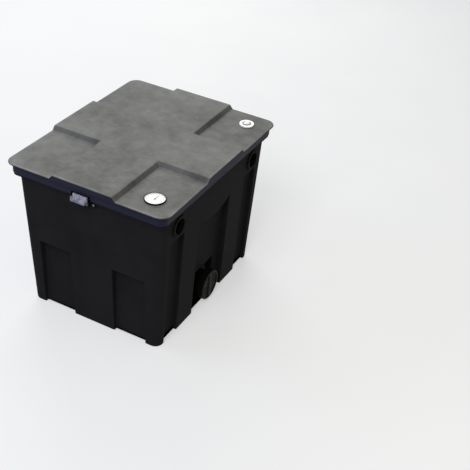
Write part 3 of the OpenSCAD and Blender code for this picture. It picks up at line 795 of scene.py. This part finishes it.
def tank_mesh():
    """The tank as rows: its foot, outer wall, flange and rim, then down its inner wall to the floor."""
    points = []
    low, high = FLANGE_Z
    flange_rows = ((low - 0.5, 0.0), (low, 0.05), (low + 0.05, 0.9), (low + 0.6, 1.0),
                   (high - 0.6, 1.0), (high - 0.05, 0.9), (high, 0.05), (high + 0.5, 0.0))
    rows = [tank_row(points, z, 0, inset) for z, inset in FOOT_ROWS]
    rows += [tank_row(points, z, 0) for z in tank_heights(0)]
    rows += [tank_row(points, z, 0, 0, share) for z, share in flange_rows]
    rows += [tank_row(points, z, 0, inset) for z, inset in ((417, 0), *RIM_ROWS)]
    rows += [tank_row(points, z, WALL, -inset) for z, inset in (*reversed(RIM_ROWS), (415, 0))]
    rows += [tank_row(points, z, WALL) for z in reversed(tank_heights(WALL))]
    rows += [tank_row(points, z, WALL, inset) for z, inset in FLOOR_ROWS]
    editing = bmesh.new()
    editing.from_mesh(mesh_of(points, ring_faces(rows), "tank"))
    editing.verts.ensure_lookup_table()
    for ids in (rows[0][::-1], rows[-1]):
        cap = editing.faces.new([editing.verts[i] for i in ids])
        bmesh.ops.triangulate(editing, faces=[cap], ngon_method="EAR_CLIP")
    mesh = bpy.data.meshes.new("tank")
    editing.to_mesh(mesh)
    editing.free()
    return mesh


def block(low, high):
    """A box with edges rounded by a millimetre."""
    editing = bmesh.new()
    bmesh.ops.create_cube(editing, size=1)
    for vertex in editing.verts:
        vertex.co = [(l + (c + 0.5) * (h - l)) * MM for c, l, h in zip(vertex.co, low, high)]
    bmesh.ops.bevel(editing, geom=list(editing.edges), offset=MM, segments=2, profile=0.5, affect="EDGES")
    mesh = bpy.data.meshes.new("block")
    editing.to_mesh(mesh)
    editing.free()
    return mesh


def make_tank():
    """The tank with its latch seats, bosses and port holes."""
    mesh = tank_mesh()
    for side in (-1, 1):
        middle, inlet = side * LATCH_X, (0, side * INLET_Y, INLET_Z)
        back, face = sorted((side * (SEAT_Y - SEAT_ROOT), side * SEAT_Y))
        seat = block((middle - SEAT_HALF, back, SEAT_Z[0]), (middle + SEAT_HALF, face, SEAT_Z[1]))
        mesh = combined(mesh, "UNION", seat)
        mesh = combined(mesh, "UNION", rod("x", INLET_BOSS, INLET_BACK, INLET_FACE, inlet, 0.8))
        mesh = combined(mesh, "DIFFERENCE", rod("x", INLET_HOLE, 150, 250, inlet))
    outlet, drain = (0, 0, OUTLET_Z), (0, 0, DRAIN_Z)
    mesh = combined(mesh, "UNION", rod("x", OUTLET_BOSS, OUTLET_FACE, OUTLET_BACK, outlet, 1.0))
    mesh = combined(mesh, "DIFFERENCE", rod("x", OUTLET_BOSS - 2, OUTLET_BACK, -150, outlet))
    mesh = combined(mesh, "DIFFERENCE", rod("x", OUTLET_HOLE, -250, -150, outlet))
    mesh = combined(mesh, "DIFFERENCE", rod("x", DRAIN_HOLE, 150, 190, drain))
    finished(mesh, "tank_moulding", "tank_plastic", "tank", "tank_shell", sharp=55)


# ---- drain cap ----

CAP_R, CAP_BACK, CAP_FACE, CAP_BORE, CAP_WALL = 44.0, 189.0, 211.0, 36.4, 5.0
CAP_FLUTES, FLUTE_DEPTH, CAP_STEPS = 36, 1.5, 360
DISH_DEPTH, CAP_RIBS, RIB_SHARE = 2.6, 12, 0.42


def cap_dish(y, z):
    """How deep the cap's face is at a point: a dish with a grip bar and low ribs beside it."""
    r = math.hypot(y, z)
    dish = DISH_DEPTH * float(np.interp(r, (36.0, 37.0, 38.2), (1, 0.8, 0)))
    bar = float(np.interp(abs(y), (5.2, 6.2, 7.8, 8.8), (1, 0.9, 0.1, 0)))
    wave = 0.5 + 0.5 * math.cos(CAP_RIBS * math.atan2(z, y))
    rib = float(np.interp(wave, (0.80, 0.95), (0, RIB_SHARE)))
    rib *= float(np.interp(r, (12, 15, 34, 36), (0, 1, 1, 0)))
    return dish * (1 - max(bar, rib))


def make_cap():
    """The drain cap as rows: its bore, its fluted rim and its dished face."""
    points, rows = [], []

    def row(radius, x, flute=0.0, dished=False):
        ids = []
        for i in range(CAP_STEPS):
            a = 2 * math.pi * i / CAP_STEPS
            cut = 0.5 + 0.5 * math.cos(CAP_FLUTES * a)
            r = radius - FLUTE_DEPTH * flute * cut ** 3
            y, z = r * math.cos(a), r * math.sin(a)
            ids.append(len(points))
            points.append((x - (cap_dish(y, z) if dished else 0), y, z + DRAIN_Z))
        rows.append(ids)

    bottom = CAP_FACE - CAP_WALL
    for radius, x in ((1.0, bottom), (20, bottom), (CAP_BORE - 0.8, bottom), (CAP_BORE, bottom - 0.8),
                      (CAP_BORE, CAP_BACK + 0.8), (CAP_BORE + 0.8, CAP_BACK)):
        row(radius, x)
    rim = ((1.4, CAP_BACK, 0.4), (0.4, CAP_BACK + 0.4, 1), (0, CAP_BACK + 1.4, 1), (0, 199, 1),
           (0, CAP_FACE - 2.6, 1), (0.5, CAP_FACE - 1.1, 0.8), (1.5, CAP_FACE - 0.3, 0.4), (2.8, CAP_FACE, 0))
    for inset, x, flute in rim:
        row(CAP_R - inset, x, flute)
    for radius in [40.0, 38.6] + [38.2 - 0.6 * k for k in range(62)] + [1.0]:
        row(radius, CAP_FACE, 0, True)
    faces = ring_faces(rows) + [rows[0][::-1], rows[-1]]
    mesh = outward(mesh_of(points, faces, "drain_cap"))
    finished(mesh, "drain_cap_moulding", "fitting_plastic", "drain_cap", "drain_cap")


# ---- gauges ----

DIAL_TOP, TICK_LIFT, TICK_ROOT = DECK_Z + 1.9, 0.1, 0.05
TICKS, TICK_TURN, FIRST_TICK, LONG_EVERY = 41, 6, -120, 5
TICK_OUT = 21.6
LONG_TICK, SHORT_TICK = (18.0, 0.45), (20.0, 0.28)    # inner radius and width
WINDOW_Z, WINDOW_FOOT, WINDOW_RISE = DECK_Z + 3.0, 9.1, 3.4


def make_scale():
    """Raised ticks over the thermometer's dial, a longer one every fifth."""
    points, faces = [], []
    for tick in range(TICKS):
        inner, width = SHORT_TICK if tick % LONG_EVERY else LONG_TICK
        angle = math.radians(FIRST_TICK + TICK_TURN * tick)
        along = Vector((math.sin(angle), math.cos(angle)))
        across = Vector((along.y, -along.x)) * width / 2
        first = len(points)
        for z in (DIAL_TOP - TICK_ROOT, DIAL_TOP + TICK_LIFT):
            for r, way in ((inner, -1), (TICK_OUT, -1), (TICK_OUT, 1), (inner, 1)):
                points.append((*(Vector(THERMO_AT) + along * r + across * way), z))
        bottom = list(range(first, first + 4))
        top = list(range(first + 4, first + 8))
        faces += [bottom[::-1], top] + ring_faces([bottom, top])
    mesh = outward(mesh_of(points, faces, "scale"))
    finished(mesh, "thermometer_scale", "needle_black", "lid", sharp=30, weighted=False)


def make_window():
    """The level gauge's dome, which stands clear of its ring above a narrow recessed flange that its material
    paints dark as shade.
    """
    foot, z = WINDOW_FOOT, WINDOW_Z
    outer = [(12.4, z - 0.9), (12.4, z - 0.1), (12.2, z + 0.1), (foot + 0.2, z + 0.1), (foot, z + 0.25)]
    outer += [(foot * math.cos(a) ** 0.55, z + 0.8 + WINDOW_RISE * math.sin(a) * 0.78)
              for a in (math.radians(6 + 6 * k) for k in range(14))]
    outer += [(0.4, z + 3.46), (0.0, z + 3.46), (0.0, z - 0.9)]
    mesh = outward(lathe(outer, "z", (*LEVEL_AT, 0), 72), weld=True)
    finished(mesh, "indicator_dome", "clear_plastic", "lid", "indicator_window", sharp=60, material="window")


# ---- foams ----

FOAM_VOXEL = 0.0055
FOAM_WAVES = ((35, 0.5), (160, 0.35))  # waves per metre, and the depth of each in millimetres
FOAM_INSET = 0.45


def make_foam(node, slot):
    """The foam block with soft, slightly uneven faces and rounded edges."""
    source = bpy.data.objects.new("working", frame["nodes"][node].data.copy())
    bpy.context.scene.collection.objects.link(source)
    weld = source.modifiers.new("weld", "WELD")
    weld.merge_threshold = 1e-5
    remesh = source.modifiers.new("voxels", "REMESH")
    remesh.mode, remesh.voxel_size = "VOXEL", FOAM_VOXEL
    bpy.context.view_layer.update()
    mesh = bpy.data.meshes.new_from_object(source.evaluated_get(bpy.context.evaluated_depsgraph_get()))
    bpy.data.objects.remove(source)
    editing = bmesh.new()
    editing.from_mesh(mesh)
    bmesh.ops.smooth_vert(editing, verts=editing.verts, factor=0.5,
                          use_axis_x=True, use_axis_y=True, use_axis_z=True)
    editing.normal_update()
    for vertex in editing.verts:
        waves = sum(noise.noise(vertex.co * scale) * depth for scale, depth in FOAM_WAVES)
        vertex.co -= vertex.normal * (FOAM_INSET + waves) * MM
    editing.to_mesh(mesh)
    editing.free()
    piece = finished(mesh, node + "_block", slot, "tank", node, sharp=80, weighted=False)


# ---- assembly ----

def paint(node, slot):
    """A CAD node that keeps its shape and takes a finished material."""
    held = frame["nodes"][node].data.materials
    held.clear()
    held.append(MATERIALS[slot])


MATERIALS = make_materials()
SLOTS = {part["node"]: part["material_slot"] for part in frame["record"]["subparts"]}
BODY_OF = {node: body for body, nodes in frame["record"]["behaviour"]["bodies"].items() for node in nodes}

make_camera()
make_lights()
make_floor()
make_lid()
make_tank()
make_cap()
make_scale()
make_window()

SHAPED = {"lid_panel", "tank_shell", "drain_cap", "indicator_window"}
AS_CAD = {"thermometer_dial", "thermometer_needle", "thermometer_lens", "thermometer_probe",
          "front_latch_pin", "rear_latch_pin"}
# edge rounding of the CAD nodes that take more or less than PLAIN_ROUNDING, in millimetres
PLAIN_ROUNDING = 0.5
ROUNDING = {"outlet_spigot": 1.0, "outlet_locknut": 1.0, "drain_locknut": 0.8, "drain_spigot": 0.25,
            "lid_gasket": 1.2, "thermometer_housing": 0.7, "indicator_ring": 0.8, "inlet_partition": 0.6,
            "outlet_partition": 0.6, "indicator_float": 2.5}
for node, slot in SLOTS.items():
    if node in SHAPED:
        continue
    if node in AS_CAD:
        paint(node, slot)
    elif slot.startswith("foam_"):
        make_foam(node, slot)
    else:
        rounded(node, slot, BODY_OF[node], ROUNDING.get(node, PLAIN_ROUNDING))
